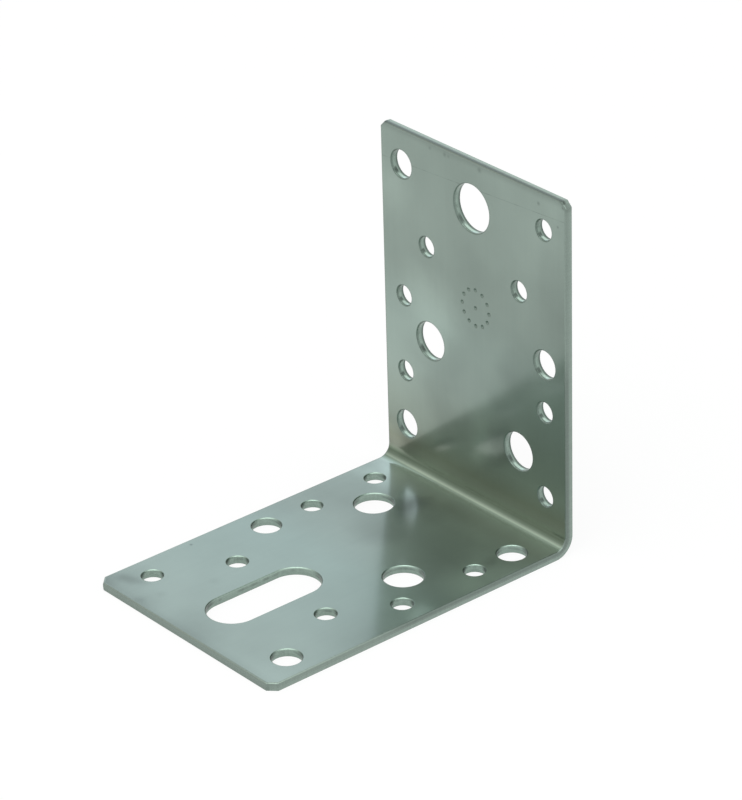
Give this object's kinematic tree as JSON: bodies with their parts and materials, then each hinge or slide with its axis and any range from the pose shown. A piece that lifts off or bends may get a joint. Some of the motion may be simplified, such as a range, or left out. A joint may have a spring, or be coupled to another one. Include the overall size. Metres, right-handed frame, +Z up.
{
  "type": "angle bracket",
  "caption": "Folded sheet-steel angle bracket with equal legs, staggered nail, screw and bolt holes, a large anchor hole in the upright leg and an adjustment slot in the base.",
  "frame": {"origin": "centre of the base leg's footprint, on its underside", "axes": "+X along the fold, +Y from the tip of the base leg to the outside of the upright leg, +Z up"},
  "size_m": [0.063, 0.09, 0.09],
  "materials": {
    "steel": "semi-gloss mill finish stainless sheet, grey with a faint green cast, no coating"
  },
  "bodies": {
    "root": {"angle_bracket": "steel"}
  },
  "joints": []
}
